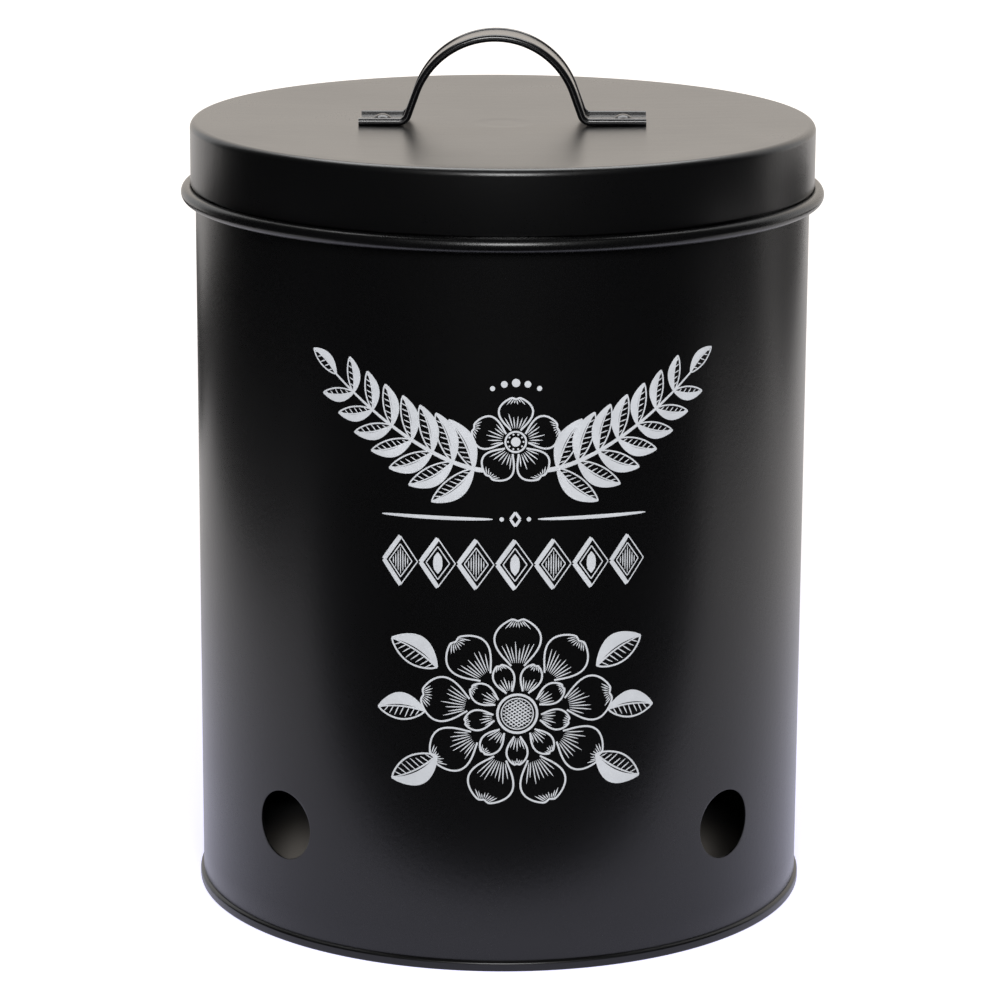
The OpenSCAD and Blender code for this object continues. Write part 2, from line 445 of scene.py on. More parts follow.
for side in (-1, 1):
    for share in (1, LINE_FLOOR):
        edit_faces(wall, lambda c: near_seam(c, CELL, SHEET_TOP_Z))
        bpy.ops.mesh.bisect(plane_co=(side * share * SEAM_LINE, 0, 0), plane_no=(1, 0, 0))
        leave_edit()
edit_points(wall, lambda c: near_seam(c, LINE_WALL * SEAM_LINE, LINE_END))
bpy.ops.transform.translate(value=(0, -SEAM_DEPTH, 0))
leave_edit()
sunk = sum(v.select for v in wall.data.vertices)

for low, high in LAP_STRETCHES:
    lap = flat_sheet("lap", LAP_COLUMNS, LAP_W, low, high)
    thicken(lap)
    soften(lap, COAT_ROUND)
    roll(lap, WALL_R - SHEET)
    pick(lap)
    lap.rotation_euler = (0, 0, math.pi)
    bpy.ops.object.transform_apply()
    join(wall, lap)
smooth(wall)
print("seam points sunk", sunk, "wall faces", len(wall.data.polygons))

# %% [markdown]
# ## The base
# The base is one pressed disc. Its edge goes up, over and down again round the foot of the wall, and
# is squeezed into the narrow ring on which the bin stands. The rolling leaves the ring's upper edge
# round, and it catches a fine line of light. The panel is set up inside, with a stiffened middle. All
# of it is one turned outline, from the axis round the ring and back.

# %% Turn the base
PLATE = 0.4 * MM
PLAY = 0.06 * MM
RING_ROUND = 0.6 * MM
RING_SHOULDER_R = 0.9 * MM
RING_SHOULDER_Z = 2.26 * MM
RING_TOP_Z = 3.45 * MM
RING_SLOPE = 45
RING_STEPS = 8
SHOULDER_STEPS = 10
INSIDE_STEPS = 6
LIP_H = 1.5 * PLATE
PLATE_ROUND = 0.05 * MM
PANEL_MARGIN = 12 * MM
ring_in_r = WALL_R - SHEET - PLAY - PLATE
pocket_in_r = ring_in_r + PLATE
pocket_out_r = BASE_R - PLATE
shoulder_r = BASE_R - RING_SHOULDER_R
panel_top_z = base_high.z
panel_r = pocket_in_r - PANEL_MARGIN
panel_rise = panel_top_z - SEAM_H

base_line = [(0, panel_top_z - PLATE), (panel_r, panel_top_z - PLATE)]
base_line += [(panel_r + panel_rise, SEAM_H - PLATE), (ring_in_r, SEAM_H - PLATE)]
base_line += arc(ring_in_r + RING_ROUND, RING_ROUND, RING_ROUND, 180, 270, RING_STEPS)
base_line += arc(BASE_R - RING_ROUND, RING_ROUND, RING_ROUND, 270, 360, RING_STEPS)
base_line += arc(shoulder_r, RING_SHOULDER_Z, RING_SHOULDER_R, 0, RING_SLOPE, SHOULDER_STEPS)
base_line += [(WALL_R, RING_TOP_Z), (WALL_R, RING_TOP_Z - LIP_H)]
base_line += arc(shoulder_r, RING_SHOULDER_Z, RING_SHOULDER_R - PLATE, RING_SLOPE, 0, INSIDE_STEPS)
base_line += [(pocket_out_r, PLATE), (pocket_in_r, PLATE), (pocket_in_r, SEAM_H)]
base_line += [(panel_r + panel_rise, SEAM_H), (panel_r, panel_top_z), (0, panel_top_z)]
base = turned("base", base_line)
soften(base, PLATE_ROUND)
smooth(base)
print("base", len(base.data.polygons), "faces")

# %% [markdown]
# ## The lid
# The lid is drawn from one sheet: a top that dips slightly in the middle, a rounded corner and a
# skirt whose edge is folded in, so that no sharp edge meets the hand. It is one turned outline again.
# The dip is an arc of a very large circle, and a small round mark of the press stands in its middle.

# %% Turn the lid
MARK_R = 11 * MM
MARK_DEPTH = 0.16 * MM
MARK_FALL = 0.55
MARK_START = 0.4
MARK_STEP = 0.05
MARK_RINGS = 14
DISH_RINGS = 16
PLAIN_FROM = 3
HEM_H = 4 * MM
CORNER_START = 82
CORNER_STEPS = 16
FOLD_STEPS = 12
dish_edge_r = LID_R - LID_CORNER_R
dish_ball_r = (dish_edge_r ** 2 + LID_DISH ** 2) / (2 * LID_DISH)


def mark_depth(r):
    """The press mark falls off smoothly over its outer part."""
    share = min(max((MARK_R - r) / (MARK_FALL * MARK_R), 0), 1)
    return MARK_DEPTH * share * share * (3 - 2 * share)


def dish_height(r):
    return LID_Z - LID_DISH + r * r / (2 * dish_ball_r) - mark_depth(r)


mark_rings = [MARK_R * (MARK_START + MARK_STEP * i) for i in range(MARK_RINGS)]
plain_rings = [dish_edge_r * i / DISH_RINGS for i in range(PLAIN_FROM, DISH_RINGS + 1)]
dish_rings = [0] + mark_rings + plain_rings
corner_z = LID_Z - LID_CORNER_R
fold_r = LID_R - SHEET
fold_z = SKIRT_Z + SHEET

lid_line = [(r, dish_height(r)) for r in dish_rings]
lid_line += arc(dish_edge_r, corner_z, LID_CORNER_R, CORNER_START, 0, CORNER_STEPS)
lid_line += arc(fold_r, fold_z, SHEET, 0, -180, FOLD_STEPS)
lid_line += [(fold_r - SHEET, SKIRT_Z + HEM_H), (fold_r, SKIRT_Z + HEM_H)]
lid_line += arc(dish_edge_r, corner_z, LID_CORNER_R - SHEET, 0, CORNER_START, FOLD_STEPS)
lid_line += [(r, dish_height(r) - SHEET) for r in reversed(dish_rings)]
lid = turned("lid", lid_line)
smooth(lid)
print("lid", len(lid.data.polygons), "faces")

# %% [markdown]
# ## The handle
# The handle is a strap of sheet whose two long edges are rolled into small tubes. Its cross section
# is drawn once at the end of the left foot: the flat, the two round edges and their open bores. It
# then travels along the handle as in a bending machine: straight, a small bend up, the leg, the arch,
# and the same again downward. Extrude makes the straight stretches and spin makes the bends. The
# section's heights count from the middle of the rolled edges.

# %% Draw the strap's section
EDGE_R = 1.2 * MM
EDGE_BORE_R = 0.65 * MM
EDGE_STEPS = 26
BORE_POINTS = 24
STRAP = 1.0 * MM
WEB_TOP = 0.75 * MM
ARCH_R = 27 * MM
ARCH_X = -2.5 * MM
FOOT_BEND_R = 3 * MM
LEG_LEAN = math.radians(20)
edge_y = strap_high.y - EDGE_R
edge_z = strap_low.z + EDGE_R
arch_z = strap_high.z - EDGE_R - ARCH_R
bend_z = edge_z + FOOT_BEND_R
bend_out = (ARCH_R + FOOT_BEND_R - math.sin(LEG_LEAN) * (bend_z - arch_z)) / math.cos(LEG_LEAN)
leg_len = math.cos(LEG_LEAN) * (arch_z - bend_z) + math.sin(LEG_LEAN) * bend_out


edge_start = math.degrees(math.asin(WEB_TOP / EDGE_R))
edge_end = math.degrees(math.asin((WEB_TOP - STRAP) / EDGE_R))
right = arc(edge_y, 0, EDGE_R, 180 - edge_start, -180 - edge_end, EDGE_STEPS)
left = [(-y, h) for y, h in reversed(right)]
bore_end = 360 - 360 / BORE_POINTS
bores = [arc(side * edge_y, 0, EDGE_BORE_R, 0, bore_end, BORE_POINTS - 1) for side in (-1, 1)]


def loop_mesh(name, points):
    """A closed chain of edges in the plane across X."""
    bpy.ops.mesh.primitive_circle_add(vertices=len(points), radius=1 * MM, location=(0, 0, 0))
    obj = added(name)
    for v, (y, h) in zip(obj.data.vertices, points):
        v.co = (strap_low.x, y, edge_z + h)
    return obj


handle = loop_mesh("handle", right + left)
join(handle, *[loop_mesh("bore", points) for points in bores])
print("section", len(handle.data.vertices), "points, leg", round(leg_len / MM, 2), "mm")

# %% [markdown]
# The strap then goes through the bending tool. Select the section, extrude it along the foot, spin it
# about a line across the strap for each bend, and extrude the leg between two bends. The open end
# stays selected after every step, so the next one goes on from it. Its two ends are filled last.

# %% Bend the strap
FOOT_STEPS = 16
ARCH_STEPS = 72
FOOT_PARTS = 4
LEG_PARTS = 3
END_NEAR = 0.01 * MM


def straight(dx, dz, parts):
    for _ in range(parts):
        extrude((dx / parts, 0, dz / parts))


def bend(x, z, angle, steps):
    """Turns the strap's end about a line across it. A positive angle turns it down."""
    bpy.ops.mesh.spin(steps=steps, angle=-angle, center=(x, 0, z), axis=(0, 1, 0))


quarter = math.radians(90) - LEG_LEAN
foot_left = ARCH_X - bend_out - strap_low.x
foot_right = strap_high.x - ARCH_X - bend_out
leg_x = leg_len * math.sin(LEG_LEAN)
leg_z = leg_len * math.cos(LEG_LEAN)
edit_all(handle)
straight(foot_left, 0, FOOT_PARTS)
bend(ARCH_X - bend_out, bend_z, -quarter, FOOT_STEPS)
straight(leg_x, leg_z, LEG_PARTS)
bend(ARCH_X, arch_z, 2 * quarter, ARCH_STEPS)
straight(leg_x, -leg_z, LEG_PARTS)
bend(ARCH_X + bend_out, bend_z, -quarter, FOOT_STEPS)
straight(foot_right, 0, FOOT_PARTS)
leave_edit()


def cap(obj, x):
    """Closes the strap's end at x. Fill leaves the two bores open."""
    edit_points(obj, lambda c: abs(c.x - x) < END_NEAR)
    bpy.ops.mesh.fill(use_beauty=True)
    leave_edit()


cap(handle, strap_low.x)
cap(handle, strap_high.x)
settle(handle)
print("handle", len(handle.data.polygons), "faces")

# %% [markdown]
# On the arch the flat lies close under the tops of its rolled edges, with a narrow groove beside
# each. At the feet the press has pushed the flat down on the lid, between its rolled edges, and the
# rivet heads sit on it there. That move is weighed by how near a point is to a foot. The strap also
# came out of the tool a little askew, its rear edge slightly to the right, all along.

# %% Press the feet flat
FOOT_WEB_TOP = 1.1 * MM
SKEW = 0.05
WEB_SHARE = 0.99
web_drop = edge_z + WEB_TOP - (strap_low.z + FOOT_WEB_TOP)
web_y = edge_y - WEB_SHARE * math.sqrt(EDGE_R ** 2 - WEB_TOP ** 2)


def foot_share(x):
    """1 on the feet, falling to 0 over the small bend between foot and leg."""
    inner = bend_out - FOOT_BEND_R * math.cos(LEG_LEAN)
    share = min(max((abs(x - ARCH_X) - inner) / (bend_out - inner), 0), 1)
    return share * share * (3 - 2 * share)


pressed = 0
for v in handle.data.vertices:
    x, y, z = v.co
    share = foot_share(x)
    if share > 0 and abs(y) < web_y:
        side = ARCH_X + math.copysign(bend_out, x - ARCH_X)
        sideways = max(side - x, 0) if x > ARCH_X else min(side - x, 0)
        inward = Vector((sideways, 0, bend_z - z)).normalized()
        v.co -= inward * web_drop * share
        v.co.z = max(v.co.z, strap_low.z)
        pressed += 1
    v.co.x += SKEW * y
smooth(handle, angle=35)
print("pressed points", pressed, "web drop", round(web_drop / MM, 2), "mm")

# %% [markdown]
# ## The rivets
# A domed rivet holds each foot. Its head sits on the strap, the shank goes through strap and lid, and
# the tail is flattened inside. Head, shank and tail are one turned outline, moved to its place.

# %% Turn the rivets
HEAD_R = 3.2 * MM
HEAD_H = 1.5 * MM
SHANK_R = 1.6 * MM
TAIL_R = 2.5 * MM
TAIL_H = 1.0 * MM
TAIL_ROUND = 0.3 * MM
HEAD_ROUND = 0.2 * MM
HEAD_EDGE_H = 0.5 * HEAD_ROUND
HEAD_EDGE_IN = 0.3 * HEAD_ROUND
RIVET_STEPS = 64
DOME_STEPS = 14
TAIL_STEPS = 4
head_z = rivet_high.z - HEAD_H
rivet_x = (rivet_low.x + rivet_high.x) / 2
dome_r = (HEAD_R ** 2 + HEAD_H ** 2) / (2 * HEAD_H)
dome_end = math.degrees(math.asin((dome_r - HEAD_H + HEAD_ROUND) / dome_r))


def rivet(name, x):
    dome_z = rivet_high.z - dome_r
    tail_z = rivet_low.z
    tail_edge = TAIL_R - TAIL_ROUND
    line = [(0, rivet_high.z)]
    line += arc(0, dome_z, dome_r, 90, dome_end, DOME_STEPS)[1:]
    line += [(HEAD_R, head_z + HEAD_EDGE_H), (HEAD_R - HEAD_EDGE_IN, head_z)]
    line += [(SHANK_R, head_z), (SHANK_R, tail_z + TAIL_H)]
    line += arc(tail_edge, tail_z + TAIL_H - TAIL_ROUND, TAIL_ROUND, 90, 0, TAIL_STEPS)
    line += arc(tail_edge, tail_z + TAIL_ROUND, TAIL_ROUND, 0, -90, TAIL_STEPS)
    line += [(0, tail_z)]
    obj = turned(name, line, steps=RIVET_STEPS)
    move(obj, (x, 0, 0))
    return smooth(obj, angle=40)


rivets = [rivet("left_rivet", -rivet_x), rivet("right_rivet", rivet_x)]
print("rivets", [len(r.data.polygons) for r in rivets])

# %% [markdown]
# ## The print on the front
# The real bin carries a thin white screen print. Here it is a garland of leaves round a blossom, a
# band of lozenges and a large rosette, drawn like an old engraving: bold half leaves beside fine
# hatching. Each pen stroke is a flat curve with a bevel, whose radius at each point is half the
# stroke's width.

# %% Helpers for pen strokes
PEN = 0.3
FINE_PEN = 0.19
STEP = 1.5
TAPER = 0.45
DOT_STEPS = 8
DOT_REACH = 0.98
CIRCLE_STEPS = 32
UPWARD = math.radians(90)
SEED = 11
hand = random.Random(SEED)


def turned_point(x, z, angle):
    c, k = math.cos(angle), math.sin(angle)
    return (x * c - z * k, x * k + z * c)


def placed(points, x, z, angle):
    """Points turned and moved. All of the print's sizes are in millimetres."""
    return [(x + px, z + pz) for px, pz in (turned_point(a, b, angle) for a, b in points)]


def pen_line(start, end, pen=PEN, taper=TAPER):
    """A straight stroke that is thinner at both ends, as a pen leaves it."""
    length = math.dist(start, end)
    count = max(3, math.ceil(length / STEP) + 1)
    shares = [i / (count - 1) for i in range(count)]
    (x0, z0), (x1, z1) = start, end
    points = [(x0 + (x1 - x0) * s, z0 + (z1 - z0) * s) for s in shares]
    return points, [pen * (taper + (1 - taper) * math.sin(math.pi * s) ** 0.5) for s in shares]


def dot(x, z, r):
    """A round dot is a short stroke that is as wide as the circle at each place."""
    shares = [-DOT_REACH + 2 * DOT_REACH * i / DOT_STEPS for i in range(DOT_STEPS + 1)]
    return [(x + r * s, z) for s in shares], [r * math.sqrt(1 - s * s) for s in shares]


def ring(x, z, r, pen=PEN):
    turns = [math.tau * i / CIRCLE_STEPS for i in range(CIRCLE_STEPS + 1)]
    return [(x + r * math.cos(a), z + r * math.sin(a)) for a in turns], [pen] * len(turns)


def swell(share, fullness):
    """Half width of a leaf or petal along its length, from 0 over 1 back to 0."""
    return math.sin(math.pi * min(max(share, 0), 1)) ** fullness


# %% [markdown]
# A leaf is drawn lying along X with its stalk at the origin: a midrib, two bowed edges, one half
# filled by a single wide stroke and the other half hatched. It is then turned and moved to its
# place. A petal is the same with another outline and hatching at its base and tip.

# %% Draw a leaf and a petal
LEAF_POINTS = 15
LEAF_BOW = 0.06
LEAF_FULL = 0.8
OUTLINE_PEN = 0.8
FILL_PLACE = 0.56
FILL_W = 0.4
FILL_LEAST = 0.1
HATCH_STEP = 1.7
HATCH_REACH = 0.92
HATCH_SLANT = 0.09
HATCH_VARY = 0.25
PETAL_STEPS = 24
PETAL_EASE = 1.8
PETAL_ROOT = 0.04
PETAL_BELLY = 1.25
PETAL_FULL = 0.62
PETAL_NOTCH = 0.07
PETAL_SPREAD = 0.72
ROOT_LEN = 0.38
ROOT_VARY = 0.2
ROOT_SIDE = 0.12
TIP_LEN = 0.12
TIP_VARY = 0.08
TIP_END = 0.96
PETAL_TAPER = 0.3


def leaf(x, z, angle, length, width, side, pen=PEN):
    """side is 1 or -1 and says which half is filled."""
    shares = [i / (LEAF_POINTS - 1) for i in range(LEAF_POINTS)]
    half = width / 2
    bow = LEAF_BOW * length * side

    def at(share, across):
        swing = bow * math.sin(math.pi * share)
        return (length * share, swing + across * half * swell(share, LEAF_FULL))

    strokes = [([at(s, 0) for s in shares], [pen * (1 - 0.5 * s) for s in shares])]
    for edge in (side, -side):
        strokes.append(([at(s, edge) for s in shares], [OUTLINE_PEN * pen] * LEAF_POINTS))
    fill = [FILL_LEAST + FILL_W * half * swell(s, LEAF_FULL) for s in shares]
    strokes.append(([at(s, FILL_PLACE * side) for s in shares], fill))
    count = max(4, int(length / HATCH_STEP))
    for i in range(1, count):
        share = i / count
        reach = HATCH_REACH - HATCH_VARY * hand.random()
        strokes.append(pen_line(at(share, 0), at(share + HATCH_SLANT, -side * reach), FINE_PEN))
    return [(placed(points, x, z, angle), radii) for points, radii in strokes]


def petal(x, z, angle, start, length, width, lines):
    """start is the distance of the petal's root from the blossom's middle."""

    def at(share, across):
        outline = swell(PETAL_ROOT + (1 - PETAL_ROOT) * share ** PETAL_BELLY, PETAL_FULL)
        notch = PETAL_NOTCH * max(0, 1 - 4 * abs(across) * outline) * share ** 6
        return (start + length * (share - notch), across * width / 2 * outline)

    shares = [1 - (1 - i / PETAL_STEPS) ** PETAL_EASE for i in range(PETAL_STEPS + 1)]
    strokes = [([at(s, side) for s in shares], [PEN] * len(shares)) for side in (-1, 1)]
    for i in range(lines):
        across = -PETAL_SPREAD + 2 * PETAL_SPREAD * i / (lines - 1)
        root = ROOT_LEN + ROOT_VARY * hand.random() - ROOT_SIDE * abs(across)
        tip = TIP_LEN + TIP_VARY * hand.random()
        tip_ends = (at(TIP_END - tip, 0.9 * across), at(TIP_END, 0.95 * across))
        strokes.append(pen_line(at(0.06, across), at(root, across), FINE_PEN, PETAL_TAPER))
        strokes.append(pen_line(*tip_ends, FINE_PEN, PETAL_TAPER))
    return [(placed(points, x, z, angle), radii) for points, radii in strokes]


def blossom(x, z, petals, start, length, width, turn, lines):
    strokes = []
    for i in range(petals):
        strokes += petal(x, z, turn + math.tau * i / petals, start, length, width, lines)
    return strokes


# %% [markdown]
# A drawing becomes one mesh: all its strokes are splines of one flat curve, which is converted, made
# thin, stood up against the front and rolled round the wall like the sheet was. The bevel has four
# sides, so each stroke has a low ridge in the middle, as thick ink has, and where strokes cross no
# two faces lie in one plane. Flat shading keeps the ridge from looking like a bulge.

# %% Turn strokes into ink
INK_H = 0.045 * MM
INK_EDGE = 0.014 * MM
INK_BACK = -0.03 * MM
INK_MIDDLE = 0.01 * MM


def ink(name, strokes):
    data = bpy.data.curves.new(name, "CURVE")
    data.dimensions = "2D"
    data.fill_mode = "NONE"
    data.bevel_depth = MM
    data.bevel_resolution = 0
    data.use_fill_caps = True
    for points, radii in strokes:
        spline = data.splines.new("POLY")
        spline.points.add(len(points) - 1)
        for point, (x, z), radius in zip(spline.points, points, radii):
            point.co = (x * MM, z * MM, 0, 1)
            point.radius = radius
    obj = bpy.data.objects.new(name, data)
    bpy.context.scene.collection.objects.link(obj)
    pick(obj)
    bpy.ops.object.convert(target="MESH")
    obj = added(name)
    for v in obj.data.vertices:
        v.co.z = INK_EDGE if abs(v.co.z) < INK_MIDDLE else (INK_H if v.co.z > 0 else INK_BACK)
    obj.rotation_euler = (math.radians(90), 0, 0)
    bpy.ops.object.transform_apply()
    roll(obj, WALL_R)
    settle(obj)
    bpy.ops.object.shade_flat()
    print(name, len(strokes), "strokes", len(obj.data.polygons), "faces")
    return obj


# %% [markdown]
# The garland is two stems that rise from a blossom to both sides. Leaves stand along them in pairs and
# get smaller towards the tips, and a row of dots crowns the blossom. The stem is a power curve, so its
# slope gives the direction of each leaf.

# %% Draw the garland
GARLAND_X = 2.0
GARLAND_Z = 163.0
STEM_REACH = 48.0
STEM_RISE = 27.0
STEM_START = 10.0
STEM_CURVE = 1.5
LEAF_PAIRS = 7
LEAF_FIRST = 0.06
LEAF_GAP = 0.135
LEAF_LEN = 17.5
LEAF_W = 6.6
LEAF_SHRINK = 0.42
LEAF_SPREAD = 52
LEAF_CLOSING = 8
STEM_STEPS = 30
STEM_PEN = 0.75
STEM_THIN = 0.45
TIP_LEAF_LEN = 0.63 * LEAF_LEN
TIP_LEAF_W = 0.7 * LEAF_W
FLOWER_Z = GARLAND_Z + 9
FLOWER_PETALS = 5
FLOWER_PETAL = (3.6, 10.5, 10.5)
EYE_R = 3.2
PUPIL_R = 0.47 * EYE_R
SEEDS = 10
SEED_RING_R = 0.75 * EYE_R
SEED_R = 0.3
CROWN_Z = GARLAND_Z + 27.5
CROWN_GAP = 3.6
CROWN_DROP = 0.45
CROWN_DOT_R = 1.3
CROWN_SHRINK = 0.25


def stem_at(share, side):
    rise = STEM_RISE * share ** STEM_CURVE
    return (GARLAND_X + side * (STEM_START + STEM_REACH * share), GARLAND_Z + rise)


def stem_slope(share, side):
    slope = math.atan2(STEM_RISE * STEM_CURVE * share ** (STEM_CURVE - 1), STEM_REACH)
    return slope if side > 0 else math.pi - slope


garland = []
stem_shares = [i / STEM_STEPS for i in range(STEM_STEPS + 1)]
stem_radii = [STEM_PEN - STEM_THIN * s for s in stem_shares]
for side in (-1, 1):
    garland.append(([stem_at(s, side) for s in stem_shares], stem_radii))
    for i in range(LEAF_PAIRS):
        share = LEAF_FIRST + LEAF_GAP * i
        x, z = stem_at(share, side)
        size = 1 - LEAF_SHRINK * share
        for up in (-1, 1):
            spread = math.radians(LEAF_SPREAD - LEAF_CLOSING * share)
            angle = stem_slope(share, side) + up * side * spread
            garland += leaf(x, z, angle, LEAF_LEN * size, LEAF_W * size, side * up)
    x, z = stem_at(1, side)
    garland += leaf(x, z, stem_slope(1, side), TIP_LEAF_LEN, TIP_LEAF_W, side)
garland += blossom(GARLAND_X, FLOWER_Z, FLOWER_PETALS, *FLOWER_PETAL, turn=UPWARD, lines=6)
garland += [ring(GARLAND_X, FLOWER_Z, EYE_R), dot(GARLAND_X, FLOWER_Z, PUPIL_R)]
for i in range(SEEDS):
    x, z = turned_point(SEED_RING_R, 0, math.tau * i / SEEDS)
    garland.append(dot(GARLAND_X + x, FLOWER_Z + z, SEED_R))
for i in range(-2, 3):
    z = CROWN_Z - CROWN_DROP * i * i
    garland.append(dot(GARLAND_X + CROWN_GAP * i, z, CROWN_DOT_R - CROWN_SHRINK * abs(i)))
prints = [ink("print_garland", garland)]

# %% [markdown]
# Below it stand two rules with a small diamond, and a band of seven lozenges. Each lozenge has a
# double outline, one side of which is bold, and a hatched or a solid heart in turn.

# %% Draw the rules and the lozenges
BAND_X = 2.0
BAND_Z = 133.0
LOZENGE_W = 6.0
LOZENGE_H = 8.5
LOZENGES = 7
OUTER_SHARE = 0.92
INNER_SHARE = 0.62
BOLD_PEN = 0.75
HEART_H = 0.4 * LOZENGE_H
HEART_PEN = 1.5
HATCH_LINES = 3
HATCH_H = 0.5 * LOZENGE_H
HATCH_APART = 0.13
RULE_Z = 147.5
RULE_START = 7
RULE_END = 42
RULE_PEN = 0.6
RULE_DOT_X = 4.2


def lozenge(x, z, w, h, pen, bold=None):
    corners = [(x - w, z), (x, z + h), (x + w, z), (x, z - h)]
    strokes = []
    for i, (start, end) in enumerate(zip(corners, corners[1:] + corners[:1])):
        strokes.append(pen_line(start, end, bold if bold and i in (0, 3) else pen, taper=0.9))
    return strokes


band = []
for i in range(LOZENGES):
    x = BAND_X + (i - LOZENGES // 2) * 2 * LOZENGE_W
    for share, bold in ((OUTER_SHARE, BOLD_PEN), (INNER_SHARE, None)):
        band += lozenge(x, BAND_Z, share * LOZENGE_W, share * LOZENGE_H, FINE_PEN, bold)
    if i % 2:
        band.append(pen_line((x, BAND_Z - HEART_H), (x, BAND_Z + HEART_H), HEART_PEN, taper=0.1))
    else:
        for k in range(-HATCH_LINES, HATCH_LINES + 1):
            reach = HATCH_H * (1 - abs(k) / (HATCH_LINES + 1))
            at = x + HATCH_APART * k * LOZENGE_W
            band.append(pen_line((at, BAND_Z - reach), (at, BAND_Z + reach), FINE_PEN))
for side in (-1, 1):
    ends = [(BAND_X + side * reach, RULE_Z) for reach in (RULE_START, RULE_END)]
    band.append(pen_line(*ends, RULE_PEN, taper=0.25))
    band.append(dot(BAND_X + side * RULE_DOT_X, RULE_Z, r=0.7))
band += lozenge(BAND_X, RULE_Z, w=1.5, h=2.2, pen=0.45)
prints.append(ink("print_band", band))

# %% [markdown]
# The rosette fills the lower part. It has two rings of hatched petals round a cross-hatched heart, and
# three large leaves stand on each side.

# %% Draw the rosette
ROSE_X = 3.0
ROSE_Z = 85.0
ROSE_PETALS = 9
OUTER_PETAL = (15.5, 15.5, 14.5)
INNER_PETAL = (7.4, 9.5, 6.6)
HEART_R = 6.2
HEART_RULE = 1.2
HATCH_GAP = 0.95
HATCH_INSET = 1.6
HATCHES = 4
SIDE_LEAF_START = 29
SIDE_LEAVES = ((0.52, 17.0, 9.5), (0.0, 15.5, 8.5), (-0.52, 17.0, 9.5))
SIDE_PEN = 0.36

rosette = blossom(ROSE_X, ROSE_Z, ROSE_PETALS, *OUTER_PETAL, turn=UPWARD, lines=8)
rosette += blossom(ROSE_X, ROSE_Z, ROSE_PETALS, *INNER_PETAL, turn=math.radians(70), lines=5)
rosette.append(ring(ROSE_X, ROSE_Z, HEART_R, pen=0.4))
rosette.append(ring(ROSE_X, ROSE_Z, HEART_R - HEART_RULE, FINE_PEN))
for hatch_turn in (math.radians(30), math.radians(-40)):
    for i in range(-HATCHES, HATCHES + 1):
        across = i * HATCH_GAP
        reach = math.sqrt((HEART_R - HATCH_INSET) ** 2 - across ** 2)
        ends = placed([(-reach, across), (reach, across)], ROSE_X, ROSE_Z, hatch_turn)
        rosette.append(pen_line(*ends, FINE_PEN))
for side in (-1, 1):
    middle = 0 if side > 0 else math.pi
    for lift, length, width in SIDE_LEAVES:
        angle = middle + side * lift
        x, z = turned_point(SIDE_LEAF_START, 0, angle)
        filled = side if lift >= 0 else -side
        rosette += leaf(ROSE_X + x, ROSE_Z + z, angle, length, width, filled, SIDE_PEN)
prints.append(ink("print_rosette", rosette))

# %% [markdown]
# ## Finishes
# Every sheet piece wears a satin black powder coat. Powder flows into a skin that is never quite
# flat: it has fine waves like the peel of an orange, and its gloss varies a little from place to
# place. Both come from noise in object space, so the pattern stays on the piece when it moves. At
# sharp edges the coat is worn a little lighter, and the Pointiness of the mesh finds them.

# %% Helpers for materials
def feed(node, values):
    """Fills a node's inputs: a socket is linked, anything else is written as the input's value."""
    for key, value in values.items():
        if isinstance(value, bpy.types.NodeSocket):
            node.id_data.links.new(value, node.inputs[key])
        else:
            node.inputs[key].default_value = value


def noise(tree, place, scale, detail, rough):
    made = tree.nodes.new("ShaderNodeTexNoise")
    feed(made, {"Vector": place, "Scale": scale, "Detail": detail, "Roughness": rough})
    return made.outputs["Fac"]


def remap(tree, value, low, high, from_low=0.0, from_high=1.0):
    """Turns the range from_low to from_high into the range low to high, and holds it there."""
    made = tree.nodes.new("ShaderNodeMapRange")
    feed(made, {"Value": value, "To Min": low, "To Max": high})
    feed(made, {"From Min": from_low, "From Max": from_high})
    return made.outputs["Result"]


def maths(tree, operation, first, second):
    made = tree.nodes.new("ShaderNodeMath")
    made.operation = operation
    feed(made, {0: first, 1: second})
    return made.outputs["Value"]


def blend_colour(tree, share, first, second):
    made = tree.nodes.new("ShaderNodeMix")
    made.data_type = "RGBA"
    feed(made, {"Factor": share, "A": (*first, 1), "B": (*second, 1)})
    return made.outputs["Result"]


def bump(tree, height, strength, distance, under=None):
    made = tree.nodes.new("ShaderNodeBump")
    feed(made, {"Height": height, "Strength": strength, "Distance": distance})
    if under:
        feed(made, {"Normal": under})
    return made.outputs["Normal"]


def new_material(name):
    made = bpy.data.materials.new(name)
    made.use_nodes = True
    tree = made.node_tree
    shader = tree.nodes["Principled BSDF"]
    place = tree.nodes.new("ShaderNodeTexCoord").outputs["Object"]
    return made, tree, shader, place


def dress(obj, material, body, slot_name, *stands_for):
    obj.data.materials.clear()
    obj.data.materials.append(material)
    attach(obj, body)
    if stands_for:
        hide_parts(*stands_for)


# %% [markdown]
# One function mixes the coat for all pieces. A large cloud of noise shifts the gloss a little, a fine
# grain roughens it and slow waves make the peel. The worn colour shows on sharp edges, most on the
# handle and the rivets. These get a glossier mixture than the sheet, because they are painted before
# they are fixed. The lid has faint streaks along X, as from a cloth that wiped it.

# %% Powder coat
SHINE = 0.42
CLOUD_SCALE = 22
GRAIN_SCALE = 2600
WAVE_SCALE = 620
WAVE_H = 0.06 * MM
GRAIN_H = 0.02 * MM
GRAIN_PEEL = 0.6
CLOUD_GLOSS = 0.035
GRAIN_GLOSS = 0.03
SHARP_FROM = 0.53
SHARP_TO = 0.62
COAT_ROUGHNESS = 0.3
STREAK_SCALE = 60
STREAK_SHAPE = (0.25, 4, 1)
BLACK = (0.0022, 0.0022, 0.0024)
WORN_BLACK = (0.009, 0.009, 0.0095)
WORN_BASE = (0.012, 0.012, 0.012)
PAINT_BLACK = (0.004, 0.004, 0.0045)
WORN_PAINT = (0.02, 0.02, 0.021)


